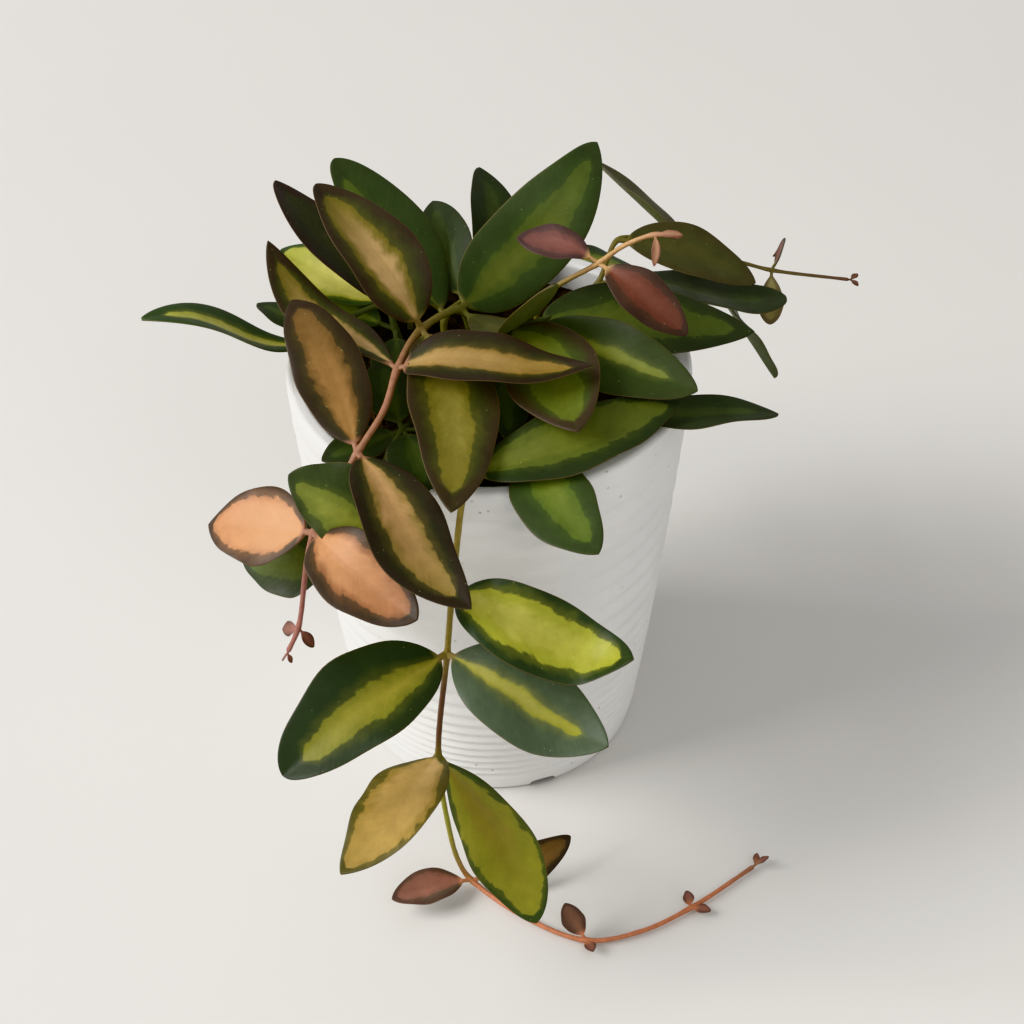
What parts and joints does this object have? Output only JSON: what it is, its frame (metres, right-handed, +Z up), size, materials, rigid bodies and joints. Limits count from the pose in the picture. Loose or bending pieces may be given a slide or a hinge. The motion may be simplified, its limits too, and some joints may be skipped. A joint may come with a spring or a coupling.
{
  "type": "potted trailing plant",
  "caption": "Trailing house plant with pointed waxy variegated leaves on thin vines, in a tapered ribbed white ceramic pot.",
  "frame": {"origin": "centre of the pot's flat foot, on the surface that the pot stands on", "axes": "+Z up along the pot's axis, -Y the front that the picture shows, +X to the right in the picture"},
  "size_m": [0.2359, 0.2431, 0.2046],
  "materials": {
    "pot_ceramic": "matte white glaze over fine level ribs",
    "potting_mix": "dark moist bark and peat crumbs",
    "foliage": "waxy, satin, green with cream to orange variegation"
  },
  "bodies": {
    "root": {"pot": "pot_ceramic", "potting_mix": "potting_mix", "leafy_stem_left": "foliage", "leafy_stem_front": "foliage", "leafy_stem_shoot": "foliage", "leafy_stem_right": "foliage", "leafy_stem_middle": "foliage", "leafy_stem_rim": "foliage", "leafy_stem_back": "foliage", "leafy_stem_side": "foliage", "leafy_stem_corner": "foliage", "leafy_stem_rear": "foliage"}
  },
  "joints": []
}
